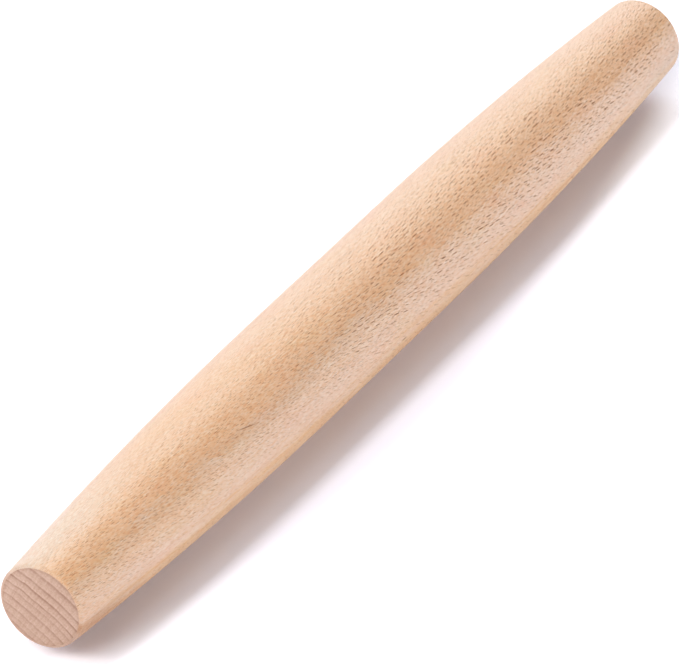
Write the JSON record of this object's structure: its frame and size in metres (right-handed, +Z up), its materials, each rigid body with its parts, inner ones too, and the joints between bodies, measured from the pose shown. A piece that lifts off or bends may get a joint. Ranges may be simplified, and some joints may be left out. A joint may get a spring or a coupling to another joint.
{
  "type": "french rolling pin",
  "caption": "Solid turned wooden rolling pin with a straight belly, gently tapered arms and flat ends, for rolling out dough and pastry.",
  "frame": {"origin": "on the worktop that the pin lies on, under the middle of its belly", "axes": "+X runs along the pin's turning axis, +Z is up, and +Y is level across the pin"},
  "size_m": [0.4, 0.04, 0.04],
  "materials": {
    "beech": "fine-sanded steamed beech, left without varnish, with a faint satin gloss"
  },
  "bodies": {
    "root": {"rolling_pin": "beech"}
  },
  "joints": []
}
